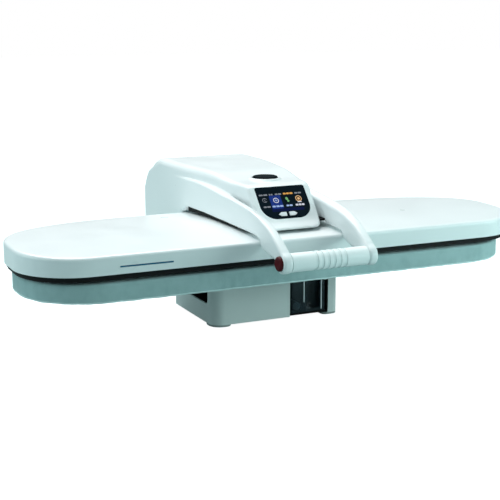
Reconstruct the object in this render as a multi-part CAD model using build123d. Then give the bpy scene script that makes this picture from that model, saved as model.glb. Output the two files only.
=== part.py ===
from build123d import *
import math
import os

os.makedirs("parts", exist_ok=True)

# ---------------------------------------------------------------------------
# Steam ironing press.  Millimetres, +Z up, the operator stands at -Y.
# The shapes are written with Y = 0 at the middle of the pressing plate's depth;
# every piece is moved by Y_SHIFT when it is written, which puts the origin under
# the middle of the whole object's box, on the surface it stands on.
# ---------------------------------------------------------------------------
Y_SHIFT = -54.5

# top shell (pressing head)
SHELL_TIP = 467.0        # half length
SHELL_FRONT = -157.6     # front edge
SHELL_CORNER = 102.0     # plan radius of the two front corners
SHELL_BOTTOM = 138.7
SHELL_TOP = 175.0        # crest of the crowned top
CROWN_R = 1926.0         # radius of the crown, about an axis along X
SHELL_WALL = 3.0
BACK_XC, BACK_YC = 200.0, -15.0   # centre of the elliptical back corners

# heating plate and its insulating rim
PLATE_BOTTOM = 130.0
PLATE_THICK = 4.0

# lower pressing board
BOARD_TIP = 455.0
BOARD_FRONT = -155.0
BOARD_CORNER = 118.0
BOARD_BOTTOM = 97.3
BOARD_TOP = 125.3
COVER_T = 1.3

# base
BASE_X = 123.0
BASE_Y0, BASE_Y1 = -55.0, 125.0
BASE_Z0, BASE_Z1 = 4.0, 95.0
BASE_R = 22.0            # front left corner; the others are tighter
BASE_R_RIGHT, BASE_R_BACK = 10.0, 6.0
WALL = 3.0
REAR_X = 86.0
REAR_Y1 = 355.0
REAR_Z1 = 55.0

# hinge between the column and the arm
HINGE_Y, HINGE_Z = 300.0, 112.0
SHAFT_R, SHAFT_BORE = 11.0, 7.5
BUSH_CLEAR = 0.05

# arm
ARM_X = 94.0             # half width over the column
ARM_BACK = 362.0
ARM_UNDER = 183.0
CHEEK_IN = 69.0          # inner face of the two cheeks
ARM_WALL = 3.0
SKIRT_Z = 105.0

# handle
HANDLE_HALF = 85.5       # half length over the end bosses
HANDLE_Y, HANDLE_Z, HANDLE_R = -236.0, 148.0, 15.5
TAPER_Y0, TAPER_Y1 = -140.0, 140.0   # the cheeks draw in between these

# console
DISP_TOP = (-59.0, 241.6)
DISP_BOT = (-101.6, 192.5)

# head pivot
PIVOT_Y, PIVOT_Z = 0.0, 160.0

# dial
DIAL_Y, DIAL_R, DIAL_TOP = -6.0, 22.2, 253.0
COLLAR_R, COLLAR_TOP = 27.5, 250.2   # raised ring round the dial

# water tank
TANK_X0, TANK_X1 = 29.0, 100.0
TANK_Y0, TANK_Y1 = -53.5, 56.0
TANK_Z0, TANK_Z1 = 9.0, 84.0

# rear wall fittings
INLET_X, SWITCH_X, REAR_Z = -46.0, 44.0, 31.0
SWITCH_Y = REAR_Y1 - 4.0


# ---------------------------------------------------------------- helpers
def box(x0, x1, y0, y1, z0, z1):
    return Pos((x0 + x1) / 2, (y0 + y1) / 2, (z0 + z1) / 2) * Box(
        x1 - x0, y1 - y0, z1 - z0
    )


def cylx(x0, x1, y, z, r):
    return Pos((x0 + x1) / 2, y, z) * Rot(0, 90, 0) * Cylinder(r, x1 - x0)


def cyly(y0, y1, x, z, r):
    return Pos(x, (y0 + y1) / 2, z) * Rot(90, 0, 0) * Cylinder(r, y1 - y0)


def cylz(z0, z1, x, y, r):
    return Pos(x, y, (z0 + z1) / 2) * Cylinder(r, z1 - z0)


def rbox(x0, x1, y0, y1, z0, z1, r):
    """Box with rounded vertical corners."""
    s = Pos((x0 + x1) / 2, (y0 + y1) / 2, z0) * RectangleRounded(x1 - x0, y1 - y0, r)
    return extrude(s, amount=z1 - z0)


def try_fillet(shape, edges, radii):
    """Rounds the edges at the first radius of the list that the shape takes."""
    edges = list(edges)
    for r in radii:
        try:
            out = fillet(edges, r)
            if out.is_valid and out.volume > 0:
                return out
        except Exception:
            pass
    return shape


def solids_of(*shapes):
    out = []
    for s in shapes:
        out += list(s.solids())
    return Compound(children=out) if len(out) > 1 else out[0]


def plan(tip, front, corner, e=0.0):
    """Plan outline of the long pressing surfaces, drawn in by e."""
    t, f, c = tip - e, front + e, corner - e
    a = tip - BACK_XC - e
    b = -front - BACK_YC - e
    cy = f + c
    right = (
        Line((-(t - c), f), (t - c, f))
        + CenterArc((t - c, cy), c, 270, 90)
        + Line((t, cy), (t, BACK_YC))
        + EllipticalCenterArc(
            (BACK_XC, BACK_YC), a, b, 0, arc_size=90
        )
        + Line((BACK_XC, BACK_YC + b), (-BACK_XC, BACK_YC + b))
        + EllipticalCenterArc(
            (-BACK_XC, BACK_YC), a, b, 90, arc_size=90
        )
        + Line((-t, BACK_YC), (-t, cy))
        + CenterArc((-(t - c), cy), c, 180, 90)
    )
    return make_face(right)


def slab(tip, front, corner, e, z0, z1):
    return extrude(Pos(0, 0, z0) * plan(tip, front, corner, e), amount=z1 - z0)


def yz(face, x0, x1):
    """Extrudes a face drawn in (Y, Z) from x0 to x1."""
    return Pos(x0, 0, 0) * extrude(Plane.YZ * face, amount=x1 - x0)


def tube_path(points, r, radii):
    """Round tube along straight runs joined by tangent arcs."""
    line = FilletPolyline(*points, radius=radii)
    prof = Plane(origin=line @ 0, z_dir=line % 0) * Circle(r)
    return sweep(prof, path=line)


def coil(xa, turns, pitch, rad, wire, y, z):
    """Coil spring about an axis along X."""
    h = Helix(pitch=pitch, height=pitch * turns, radius=rad)
    prof = Plane(origin=h @ 0, z_dir=h % 0) * Circle(wire)
    return Pos(xa, y, z) * Rot(0, 90, 0) * sweep(prof, path=h)


parts = {}


def put(name, shape):
    parts[name] = shape


# ================================================================= BASE
HOLD = Pos(24.5, 57.5) * RectangleRounded(111, 39, 9)      # hand hold, in (Y, Z)
HOLD_FLANGE = Pos(24.5, 57.5) * RectangleRounded(116, 44, 11)
HOLD_DEPTH = {-1: 32.0, 1: 14.0}     # the tank bay leaves less room on the right



def base_slab(e, z0, z1):
    """Front box's plan, drawn in by e, from z0 to z1."""
    f = Pos(0, (BASE_Y0 + BASE_Y1) / 2) * Rectangle(2 * (BASE_X - e), BASE_Y1 - BASE_Y0 - 2 * e)
    for right, back, r in ((0, 0, BASE_R), (1, 0, BASE_R_RIGHT), (0, 1, BASE_R_BACK), (1, 1, BASE_R_BACK)):
        v = [q for q in f.vertices() if (q.X > 60) == bool(right) and (q.Y > 60) == bool(back) and abs(abs(q.X) - (BASE_X - e)) < 0.01]
        v = [q for q in v if min(abs(q.Y - BASE_Y0 - e), abs(q.Y - BASE_Y1 + e)) < 0.01]
        f = fillet(v, r - e if r > e + 1 else 1.0)
    return extrude(Pos(0, 0, z0) * f, amount=z1 - z0)


front_box = base_slab(0, BASE_Z0, BASE_Z1)
rear_box = rbox(-REAR_X, REAR_X, 60, REAR_Y1, BASE_Z0, REAR_Z1, 20)
column = yz(
    make_face(
        Polyline(
            (172, 40), (172, 126), (186, 140), (262, 152), (300, 153), (322, 145),
            (337, 128), (341, 108), (336, 80), (329, 56), (329, 40), close=True,
        )
    ),
    -REAR_X, REAR_X,
)
column = try_fillet(
    column,
    [e for e in column.edges() if abs(abs(e.center().X) - REAR_X) < 0.1 and e.center().Z > 60],
    [6, 4, 2],
)
housing = front_box + rear_box + column
inner = base_slab(WALL, BASE_Z0 - 1, BASE_Z1 - WALL)
inner += rbox(-REAR_X + WALL, REAR_X - WALL, 63, REAR_Y1 - WALL, BASE_Z0 - 1, REAR_Z1 - WALL, 17)
inner += yz(
    make_face(
        Polyline(
            (175, 40), (175, 124.5), (187.5, 137.2), (262.4, 149), (299.5, 150), (320, 142.7),
            (334.2, 127.2), (338, 108), (333, 80.7), (326, 56.5), (326, 40), close=True,
        )
    ),
    -REAR_X + WALL, REAR_X - WALL,
)
housing -= inner
for side in (-1, 1):
    housing -= yz(HOLD, side * BASE_X - 20, side * BASE_X + 20)
# window of the water tank, open down to the bottom
housing -= box(26, 103, BASE_Y0 - 1, BASE_Y0 + 8, BASE_Z0 - 1, 87.1)
# holes for the hinge shaft
housing -= cylx(-REAR_X - 1, REAR_X + 1, HINGE_Y, HINGE_Z, SHAFT_R + 1.2)
# inlet, switch and vents in the rear wall
housing -= box(INLET_X - 14, INLET_X + 14, REAR_Y1 - 6, REAR_Y1 + 1, REAR_Z - 11, REAR_Z + 11)
housing -= box(SWITCH_X - 14, SWITCH_X + 14, REAR_Y1 - 6, REAR_Y1 + 1, REAR_Z - 10, REAR_Z + 10)
for i in range(7):
    x = -15 + i * 5
    housing -= box(x - 1.2, x + 1.2, REAR_Y1 - 6, REAR_Y1 + 1, 20, 42)
# bosses for the screws from below, each tied to the nearest wall by a rib
BOSSES = [(-100, 0, 30), (-100, 70, 30), (14, -40, 92), (114, 70, 30), (-60, 150, 40), (60, 150, 40), (-60, 325, 40), (60, 325, 40)]
for x, y, top in BOSSES:
    housing += cylz(8.0, top, x, y, 5.0)
    if y == -40:
        housing += box(x - 1.5, x + 1.5, -53, y - 4, 8, top)
    else:
        wall_x = 121 if y < 130 else 84
        a, b = (x + 3, wall_x) if x > 0 else (-wall_x, x - 3)
        housing += box(a, b, y - 1.5, y + 1.5, 8, top)
for x, y, top in BOSSES:
    housing -= cylz(7.0, 23.0, x, y, 1.6)
# the housing is two mouldings that meet behind the front box
put("base_housing", max((housing & box(-200, 200, -100, BASE_Y1, -5, 200)).solids(), key=lambda s: s.volume))
put("column_housing", max((housing & box(-200, 200, BASE_Y1, 400, -5, 200)).solids(), key=lambda s: s.volume))

liners = []
for side in (-1, 1):
    depth = HOLD_DEPTH[side]
    lo = BASE_X - WALL - depth if side > 0 else -(BASE_X - WALL)
    pocket = yz(HOLD_FLANGE, lo, lo + depth)
    pocket -= yz(HOLD, lo + 2, lo + depth + 2) if side > 0 else yz(HOLD, lo - 2, lo + depth - 2)
    liners.append(pocket)
put("hand_hold_liners", solids_of(*liners))

bay = box(26, 103, BASE_Y0 + 0.4, 62, 5.9, 87) - box(28, 101, BASE_Y0 - 2, 60, 7.9, 85)
bay -= cyly(58, 64, 64, 24, 6.5)
put("tank_bay_liner", bay)

bottom = base_slab(WALL + 0.3, 5.6, 8.0)
bottom += rbox(-REAR_X + WALL + 0.3, REAR_X - WALL - 0.3, 63, REAR_Y1 - WALL - 0.3, 5.6, 8.0, 17)
bottom -= box(25.0, 104.0, BASE_Y0 - 1, 63.0, 5, 9)
for x, y, top in BOSSES:
    bottom -= cylz(5, 9, x, y, 3.6)
for i in range(7):
    x = -30 + i * 10
    bottom -= box(x - 2, x + 2, 190, 236, 5, 9)
put("base_plate", bottom)
put(
    "base_screws",
    solids_of(*[cylz(5.6, 8.0, x, y, 3.55) + cylz(8.0, 22.0, x, y, 1.6) for x, y, top in BOSSES]),
)

# feet: four at the front box's corners, two under the rear box
feet = []
corner_keep = base_slab(0, -1, 6)
inside_keep = base_slab(WALL + 0.6, 3, 5.6)
for sx in (-1, 1):
    for y0, y1 in ((BASE_Y0, BASE_Y0 + 37), (BASE_Y1 - 50, BASE_Y1 - 16)):
        out = BASE_X if y0 < 0 else BASE_X - 20
        x0, x1 = (out - 31, out) if sx > 0 else (-out, -out + 37)
        pad = rbox(x0, x1, y0, y1, 0, 5.6, 10) & corner_keep
        low = pad & box(-200, 200, -100, 200, -1, BASE_Z0)
        up = pad & inside_keep
        if sx > 0 and y0 < 0:
            up = up - box(25, 104, -70, 63, 3, 7)
        low = try_fillet(low, [e for e in low.edges() if e.center().Z < 0.1], [2.0, 1.0])
        feet.append(low + up)
    x0, x1 = (REAR_X - 34, REAR_X - 4) if sx > 0 else (-REAR_X + 4, -REAR_X + 34)
    feet.append(rbox(x0, x1, REAR_Y1 - 38, REAR_Y1 - 8, 0, 5.6, 8) - cylz(3, 6, 60 * sx, 325, 5))
put("rubber_feet", solids_of(*feet))

# spacers between the housing and the board
put(
    "board_spacers",
    solids_of(
        *[rbox(x - 20, x + 20, y - 12, y + 12, BASE_Z1, 98.5, 4) for x in (-80, 80) for y in (-25, 90)]
    ),
)

# mains inlet, its blades, the rocker switch and its bezel
inlet = box(INLET_X - 13.8, INLET_X + 13.8, REAR_Y1 - 22, REAR_Y1, REAR_Z - 10.8, REAR_Z + 10.8)
inlet += box(INLET_X - 17, INLET_X + 17, REAR_Y1, REAR_Y1 + 2.0, REAR_Z - 13, REAR_Z + 13)
inlet -= box(INLET_X - 11.5, INLET_X + 11.5, REAR_Y1 - 16, REAR_Y1 + 3, REAR_Z - 8, REAR_Z + 8)
blades = [
    box(INLET_X + dx - 1, INLET_X + dx + 1, REAR_Y1 - 27, REAR_Y1 - 3, REAR_Z + dz - 2, REAR_Z + dz + 2)
    for dx, dz in ((-7, -1.5), (0, 2.0), (7, -1.5))
]
for blade in blades:
    inlet -= blade
put("mains_inlet", inlet)
put("inlet_contacts", solids_of(*blades))

bezel = box(SWITCH_X - 13.8, SWITCH_X + 13.8, REAR_Y1 - 18, REAR_Y1, REAR_Z - 9.8, REAR_Z + 9.8)
bezel += box(SWITCH_X - 16.5, SWITCH_X + 16.5, REAR_Y1, REAR_Y1 + 2.0, REAR_Z - 12.5, REAR_Z + 12.5)
bezel -= box(SWITCH_X - 11.5, SWITCH_X + 11.5, REAR_Y1 - 15, REAR_Y1 + 3, REAR_Z - 7.6, REAR_Z + 7.6)
bezel -= cylz(REAR_Z - 9, REAR_Z + 9, SWITCH_X, SWITCH_Y, 1.55)
put("switch_bezel", bezel)
rocker = extrude(
    Pos(0, 0, REAR_Z - 7.1)
    * make_face(
        Polyline(
            (SWITCH_X - 10.4, SWITCH_Y + 5.4), (SWITCH_X, SWITCH_Y + 3.4), (SWITCH_X + 10.4, SWITCH_Y + 5.4),
            (SWITCH_X + 9.6, SWITCH_Y - 3.0), (SWITCH_X, SWITCH_Y - 5.0), (SWITCH_X - 9.6, SWITCH_Y - 3.0),
            close=True,
        )
    ),
    amount=14.2,
)
rocker += cylz(REAR_Z - 8.9, REAR_Z + 8.9, SWITCH_X, SWITCH_Y, 1.5)
put("switch_rocker", rocker)

# inside the base: pump on its bracket, power board with its parts
pump = cyly(110, 168, 40, 30, 14.5) + cyly(168, 182, 40, 30, 5) + cyly(98, 110, 40, 30, 5)
pump += box(27, 53, 118, 150, 15, 30)
put("steam_pump", pump)
put("pump_bracket", box(18, 53, 115, 155, 8.0, 15))
put("power_board", box(-52, 30, 245, 335, 14, 15.6))
put(
    "power_components",
    solids_of(
        rbox(-48, -22, 255, 290, 15.6, 40, 2), rbox(-15, 5, 255, 275, 15.6, 32, 1.5),
        cylz(15.6, 36, 18, 265, 8), box(-46, -10, 300, 312, 15.6, 27), box(5, 25, 300, 322, 15.6, 33),
    ),
)
put("board_posts", solids_of(*[cylz(8.0, 14.0, x, y, 3) for x in (-46, 26) for y in (249, 331)]))

# docking valve at the back of the bay; hoses to the pump and up to the hinge
put("docking_valve", cyly(54, 70, 64, 24, 6.5) - cyly(50, 66, 64, 24, 3.0))
put(
    "water_hoses",
    solids_of(
        tube_path([(64, 70, 24), (64, 84, 24), (40, 84, 30), (40, 98, 30)], 2.8, [7, 7]),
        tube_path([(40, 182, 30), (40, 222, 30), (40, 222, 140), (40, 236, 140)], 3.2, [20, 6]),
    ),
)

# hinge brackets with a tie bar, bushes, counterbalance springs
brackets = None
for sx in (-1, 1):
    x0, x1 = (64, 69) if sx > 0 else (-69, -64)
    ear = yz(
        make_face(
            Polyline(
                (205, 8), (318, 8), (318, 60), (322, 100), (318, 128), (286, 134), (270, 118), (215, 40),
                close=True,
            )
        ),
        x0, x1,
    )
    ear += box(min(sx * 55, sx * 64), max(sx * 55, sx * 64), 210, 243, 8, 12)
    ear -= cylx(x0 - 2, x1 + 2, HINGE_Y, HINGE_Z, 14.0)
    brackets = ear if brackets is None else brackets + ear
brackets += cylx(-65, 65, 282, 60, 5)
put("hinge_brackets", brackets)
bushes = []
for sx in (-1, 1):
    a, b = (64, 69) if sx > 0 else (-69, -64)
    c, d = (61, 64) if sx > 0 else (-64, -61)
    bush = cylx(a, b, HINGE_Y, HINGE_Z, 14.0) + cylx(c, d, HINGE_Y, HINGE_Z, 17.0)
    bushes.append(bush - cylx(min(a, c) - 1, max(b, d) + 1, HINGE_Y, HINGE_Z, SHAFT_R + BUSH_CLEAR))
put("hinge_bushes", solids_of(*bushes))
put(
    "torsion_springs",
    solids_of(*[coil(xa, 6, 6.0, 18.5, 2.4, HINGE_Y, HINGE_Z) for xa in (-56.0, 20.0)]),
)

# ================================================================= BOARD
pan = slab(BOARD_TIP, BOARD_FRONT, BOARD_CORNER, 1.6, 98.5, 102.5)
put("board_pan", pan)
put("board_pad", slab(BOARD_TIP, BOARD_FRONT, BOARD_CORNER, 1.6, 102.5, BOARD_TOP - COVER_T))
cov = slab(BOARD_TIP, BOARD_FRONT, BOARD_CORNER, 0, BOARD_BOTTOM, BOARD_TOP)
cov = try_fillet(cov, [e for e in cov.edges() if e.center().Z > BOARD_TOP - 0.1], [2.0, 1.0])
cov -= slab(BOARD_TIP, BOARD_FRONT, BOARD_CORNER, COVER_T + 0.3, 98.5, BOARD_TOP - COVER_T)
cov -= slab(BOARD_TIP, BOARD_FRONT, BOARD_CORNER, 16.0, BOARD_BOTTOM - 1, 99.0)
put("board_cover", cov)

# ================================================================= HEAD
shell = slab(SHELL_TIP, SHELL_FRONT, SHELL_CORNER, 0, SHELL_BOTTOM, 200)
crown = cylx(-600, 600, 0, SHELL_TOP - CROWN_R, CROWN_R)
shell = shell & crown
shell = try_fillet(shell, [e for e in shell.edges() if e.center().Z > 155 and e.bounding_box().size.Z < 12], [6, 5, 4])
shell_in = slab(SHELL_TIP, SHELL_FRONT, SHELL_CORNER, SHELL_WALL, SHELL_BOTTOM - 5, 200)
shell_in = shell_in & cylx(-600, 600, 0, SHELL_TOP - CROWN_R, CROWN_R - SHELL_WALL)
shell_in = try_fillet(
    shell_in, [e for e in shell_in.edges() if e.center().Z > 155 and e.bounding_box().size.Z < 12], [3, 2]
)
shell = shell - shell_in
# slot through which the arm's lug reaches the pivot, and four screw holes
shell -= box(-26, 26, -17, 17, 160, 190)
HEAD_SCREWS = [(sx * 40, sy * 26) for sx in (-1, 1) for sy in (-1, 1)]
for (x, y) in HEAD_SCREWS:
    shell -= cylz(160, 190, x, y, 2.0)
put("top_shell", shell)

rim = slab(SHELL_TIP, SHELL_FRONT, SHELL_CORNER, SHELL_WALL, PLATE_BOTTOM + PLATE_THICK, 147)
rim -= slab(SHELL_TIP, SHELL_FRONT, SHELL_CORNER, 15.0, PLATE_BOTTOM, 150)
rim -= slab(SHELL_TIP, SHELL_FRONT, SHELL_CORNER, SHELL_WALL + 2.5, SHELL_BOTTOM + 2.5, 150)
RIM_SCREWS = [(x, -146.5) for x in (-340, -170, 0, 170, 340)] + [(x, 146.5) for x in (-180, -60, 60, 180)]
rim_screws = []
for (x, y) in RIM_SCREWS:
    rim_screws.append(cylz(SHELL_BOTTOM + 2.5, SHELL_BOTTOM + 4.5, x, y, 3.4) + cylz(PLATE_BOTTOM + 1.2, SHELL_BOTTOM + 2.5, x, y, 1.6))
plate = slab(SHELL_TIP, SHELL_FRONT, SHELL_CORNER, 5.0, PLATE_BOTTOM, PLATE_BOTTOM + PLATE_THICK)
for (x, y) in RIM_SCREWS:
    hole = cylz(PLATE_BOTTOM + 1.2, 142, x, y, 1.6)
    rim -= hole
    plate -= hole
for ix in range(-6, 7):
    for iy in (-1, 0, 1):
        x, y = ix * 55.0 + (27.5 if iy % 2 else 0), iy * 62.0
        if abs(x) < 370:
            plate -= cylz(PLATE_BOTTOM - 1, PLATE_BOTTOM + PLATE_THICK + 1, x, y + 6, 1.9)
put("insulating_rim", rim)
put("heating_plate", plate)
put("rim_screws", solids_of(*rim_screws))
PT = PLATE_BOTTOM + PLATE_THICK
el_pts = [(-60, -100, PT + 4.2), (-370, -100, PT + 4.2), (-370, 92, PT + 4.2), (370, 92, PT + 4.2), (370, -100, PT + 4.2), (60, -100, PT + 4.2)]
put("heating_element", tube_path(el_pts, 4.2, [60, 60, 60, 60]))
ch = rbox(-190, -90, -45, 55, PT, 152, 10) - rbox(-186, -94, -41, 51, PT + 3, 149, 7)
ch -= cylz(145, 155, -110, 0, 3.2)
put("steam_chamber", ch)
put("steam_elbow", cylz(149, 160, -110, 0, 3.2) + cylx(-110, -60, 0, 160, 3.2))
put("thermostat", cylz(PT, 145, 110, 0, 13) + cylz(145, 150, 110, 0, 8))
put("thermal_fuse", cylx(150, 180, 0, PT + 3, 3))

# pivot block fixed to the plate and the shell, and its pin
blk = rbox(-50, 50, -36, 36, PT, PT + 5, 6)
for sx in (-1, 1):
    a, b = (17, 22) if sx > 0 else (-22, -17)
    ear = box(a, b, -16, 16, PT + 4, 169)
    ear = try_fillet(ear, [e for e in ear.edges() if e.center().Z > 168.9 and abs(e.center().Y) > 15], [10])
    blk += ear
for (x, y) in HEAD_SCREWS:
    blk += cylz(PT + 4, 170.0, x, y, 5.0)
blk -= cylx(-30, 30, PIVOT_Y, PIVOT_Z, 5.0)
for (x, y) in HEAD_SCREWS:
    blk -= cylz(155, 190, x, y, 1.6)
blk = blk & (cylx(-600, 600, 0, SHELL_TOP - CROWN_R, CROWN_R - SHELL_WALL) )
put("pivot_block", blk)
put("pivot_pin", cylx(-24, 24, PIVOT_Y, PIVOT_Z, 5.0))
hs = []
for (x, y) in HEAD_SCREWS:
    hs.append(cylz(174.9, 176.9, x, y, 3.8) + cylz(156, 174.9, x, y, 1.6))
put("head_screws", solids_of(*hs))

# ================================================================= ARM
cheek_top = [
    (167, 235.8), (120, 235.7), (80, 235.0), (40, 232.6), (0, 229.0), (-40, 225.6), (-80, 222.0), (-110, 218.2),
    (-140, 213.3), (-165, 206.6), (-190, 196.9), (-215, 183.0), (-235, 169.2), (-246, 161),
]
CHEEK_LOW = {
    True: [(-236, 148), (-210, 150.5), (-191, 153.5), (-170, 158.5), (-163, 164), (-158, 172), (-146, 177), (60, ARM_UNDER)],
    False: [
        (-236, 151), (-210.5, 153.5), (-191.6, 156.5), (-171.3, 161.4), (-165.3, 166.1), (-160.2, 174.5),
        (-146.6, 180), (60, ARM_UNDER + ARM_WALL),
    ],
}


def taper(e):
    """Plan of the arm: full width over the column, narrower at the handle, drawn in by e."""
    a, b = ARM_X - e, HANDLE_HALF - e
    right = [(b, -300), (b, TAPER_Y0), (a, TAPER_Y1), (a, 420)]
    pts = right + [(-x, y) for x, y in reversed(right)]
    return extrude(Pos(0, 0, 90) * make_face(Polyline(*pts, close=True)), amount=220)


def arm_side(e):
    """Side profile of the arm's cheeks and skirt, drawn in by e."""
    top = Spline(*[(y, z - e) for (y, z) in cheek_top[:-1]], (-246 + e * 0.6, 161 - e * 0.4))
    low = Polyline(
        (-246 + e * 0.6, 161 - e * 0.4), *CHEEK_LOW[e == 0],
        (137 + 0 * e, ARM_UNDER + e), (162 + e * 0.7, 172 + e * 0.7), (166 + e, 166), (166 + e, SKIRT_Z if e == 0 else SKIRT_Z - 5),
        (ARM_BACK - e, SKIRT_Z if e == 0 else SKIRT_Z - 5), (ARM_BACK - e, 190), (338 - e * 0.8, 225 - e * 0.6), (320, 235 - e), (167, 235.8 - e),
    )
    return make_face(top + low)


# lower lip of the console, outside and inside
LIP = {
    True: [(-117.8, 181.2), (-120.8, 178.6), (-121.4, 177.2), (-120.4, 176.2), (-104, 176.8), (-101, 183)],
    False: [(-112.5, 181)],
}


def arm_spine(e):
    """Central hump of the arm, from the rear face to the console, drawn in by e."""
    low = ARM_UNDER if e == 0 else ARM_UNDER - 2
    top = [
        (240, 257.2), (205, 257.4), (170, 257.5), (135, 257.4), (100, 257.0), (75, 256.3), (50, 254.6),
        (22, 251.0), (-6, 247.8), (-28, 246.6), (-47, 246.2),
    ]
    prof = make_face(
        Spline(*[(y, z - e) for y, z in top])
        + Polyline(
            (-47, 246.2 - e), (-58.6, 242.1 - e), (-101.2 + e * 0.7, 192.9 - e * 0.7), (-106.5 + e * 0.6, 188.3 - e * 0.8),
            (-112.5 + e * 0.6, 184.3 - e * 0.8), *LIP[e == 0],
            (137, low), (180, ARM_UNDER), (ARM_BACK - e, ARM_UNDER),
            (ARM_BACK - e, 190), (352 - e, 209 - e * 0.5), (338 - e * 0.8, 225 - e * 0.6),
            (310 - e * 0.4, 244.5 - e), (292, 254.3 - e), (270, 257 - e), (240, 257.2 - e),
        )
    )
    body = yz(prof, -ARM_X + e, ARM_X - e)
    half = [
        (ARM_X, ARM_BACK + 10), (ARM_X, 200), (92.5, 165), (88, 128), (78, 60), (71, 10), (62, -30),
        (57, -60), (56.5, -80), (56, -98), (53, -109), (46, -117), (36, -121.4),
    ]
    pts = [(x - e, y) for x, y in half[:-1]] + [(36 - e * 0.5, -121.4 + e)]
    right = Polyline(*pts[:2]) + Spline(*pts[1:])
    left = mirror(right, about=Plane.YZ)
    a, b = pts[0], pts[-1]
    face = make_face(right + left + Line((-a[0], a[1]), a) + Line((-b[0], b[1]), b))
    return body & extrude(Pos(0, 0, 150) * face, amount=140)


def arm_body(e):
    side = yz(arm_side(e), -ARM_X + e, ARM_X - e) & taper(e)
    side -= box(-CHEEK_IN - e, CHEEK_IN + e, -300, -104 + e, 100, 300)
    side -= box(-CHEEK_IN - e, CHEEK_IN + e, -110, 110 + e, 191 - e, 300)
    return side + (arm_spine(e) & taper(e))


arm = arm_body(0) - arm_body(ARM_WALL)
# open underside between the lower cover's seat and the skirt
arm -= box(-ARM_X, ARM_X, -101, 134, 170, 187) & taper(ARM_WALL)
# handle end bosses
for sx in (-1, 1):
    a, b = (CHEEK_IN, HANDLE_HALF) if sx > 0 else (-HANDLE_HALF, -CHEEK_IN)
    arm += cylx(a, b, HANDLE_Y, HANDLE_Z, 17.0)
# bores: the handle core, the release button
arm -= cylx(-HANDLE_HALF + 4, HANDLE_HALF - 4, HANDLE_Y, HANDLE_Z, 10.0)
arm -= cylx(-HANDLE_HALF - 1, -HANDLE_HALF + 5, HANDLE_Y, HANDLE_Z, 12.4)
# display recess, normal to the slope
slope = math.atan2(DISP_TOP[1] - DISP_BOT[1], DISP_TOP[0] - DISP_BOT[0])
disp_c = ((DISP_TOP[0] + DISP_BOT[0]) / 2, (DISP_TOP[1] + DISP_BOT[1]) / 2)
DISP = Plane(origin=(0, disp_c[0], disp_c[1]), x_dir=(1, 0, 0), z_dir=(0, -math.sin(slope), math.cos(slope)))
dl = math.hypot(DISP_TOP[0] - DISP_BOT[0], DISP_TOP[1] - DISP_BOT[1])


def disp_face(e):
    hw, hh = 47.3 - e, dl / 2 - e
    rt, rb = 4.0, 27.0 - e
    l = (
        Line((-hw + rt, hh), (hw - rt, hh)) + CenterArc((hw - rt, hh - rt), rt, 0, 90)
        + Line((hw, hh - rt), (hw, -hh + rb)) + CenterArc((hw - rb, -hh + rb), rb, 270, 90)
        + Line((hw - rb, -hh), (-hw + rb, -hh)) + CenterArc((-hw + rb, -hh + rb), rb, 180, 90)
        + Line((-hw, -hh + rb), (-hw, hh - rt)) + CenterArc((-hw + rt, hh - rt), rt, 90, 90)
    )
    return make_face(l)


def on_disp(face, h0, h1):
    return extrude(DISP * (Pos(0, 0, h0) * face), amount=h1 - h0)


arm -= on_disp(disp_face(-0.2), -1.8, 12)
arm -= on_disp(disp_face(5.0), -12, 2)
# seat of the dial
arm += cylz(DIAL_TOP - 9.5, COLLAR_TOP, 0, DIAL_Y, COLLAR_R)
arm -= cylz(DIAL_TOP - 8.5, DIAL_TOP + 4, 0, DIAL_Y, DIAL_R + 1.2)
arm += cylz(DIAL_TOP - 11.5, DIAL_TOP - 8.5, 0, DIAL_Y, DIAL_R + 4)
arm -= cylz(DIAL_TOP - 14, DIAL_TOP - 7, 0, DIAL_Y, 5.5)
arm_s = max(arm.solids(), key=lambda s: s.volume)
put("arm_cover", arm_s)

KEYS = {"key_left": -10.3, "key_right": 10.3}
glass = on_disp(disp_face(0.2), -1.6, 0.2)
key_y = -dl / 2 + 8.8


def key_face(side, e):
    """Arrow-shaped key, pointing outwards, drawn in by e."""
    tag = [(-8.1, -4.1), (2.2, -4.1), (8.3, 0.0), (2.2, 4.1), (-8.1, 4.1)]
    face = make_face(Polyline(*[(side * x, y) for x, y in tag], close=True))
    face = offset(face, amount=-e) if e else face
    return fillet(face.vertices(), 0.9)


for kx in KEYS.values():
    glass -= on_disp(Pos(kx, key_y) * key_face(1 if kx > 0 else -1, 0), -4, 3)
put("display_glass", glass)
for name, kx in KEYS.items():
    k = on_disp(Pos(kx, key_y) * key_face(1 if kx > 0 else -1, 0.4), -4.4, 1.2)
    put(name, k)
mod = on_disp(Pos(0, 4.5) * RectangleRounded(80, 42, 2), -5.4, -1.6)
put("display_module", mod)
pcb = on_disp(Pos(0, 2) * RectangleRounded(82, 58, 3), -8.4, -6.8)
put("control_board", pcb)
switches = [on_disp(Pos(kx, key_y) * Rectangle(6, 6), -6.8, -5.9) for kx in KEYS.values()]
pins = [on_disp(Pos(x, 22) * Rectangle(2, 2), -6.8, -5.4) for x in (-30, -10, 10, 30)]
put("board_components", solids_of(*switches, *pins))

# dial and encoder
dial = cylz(DIAL_TOP - 8.0, DIAL_TOP, 0, DIAL_Y, DIAL_R)
dial = try_fillet(dial, [e for e in dial.edges() if e.center().Z > DIAL_TOP - 0.1], [3.0, 2.0])
dial += cylz(DIAL_TOP - 24, DIAL_TOP - 8.0, 0, DIAL_Y, 3.0)
put("dial_knob", dial)
enc = box(-11, 11, DIAL_Y - 11, DIAL_Y + 11, DIAL_TOP - 30, DIAL_TOP - 18) + cylz(DIAL_TOP - 18, DIAL_TOP - 12, 0, DIAL_Y, 4.8)
enc -= cylz(DIAL_TOP - 26, DIAL_TOP - 10, 0, DIAL_Y, 3.05)
put("dial_encoder", enc)

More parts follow.
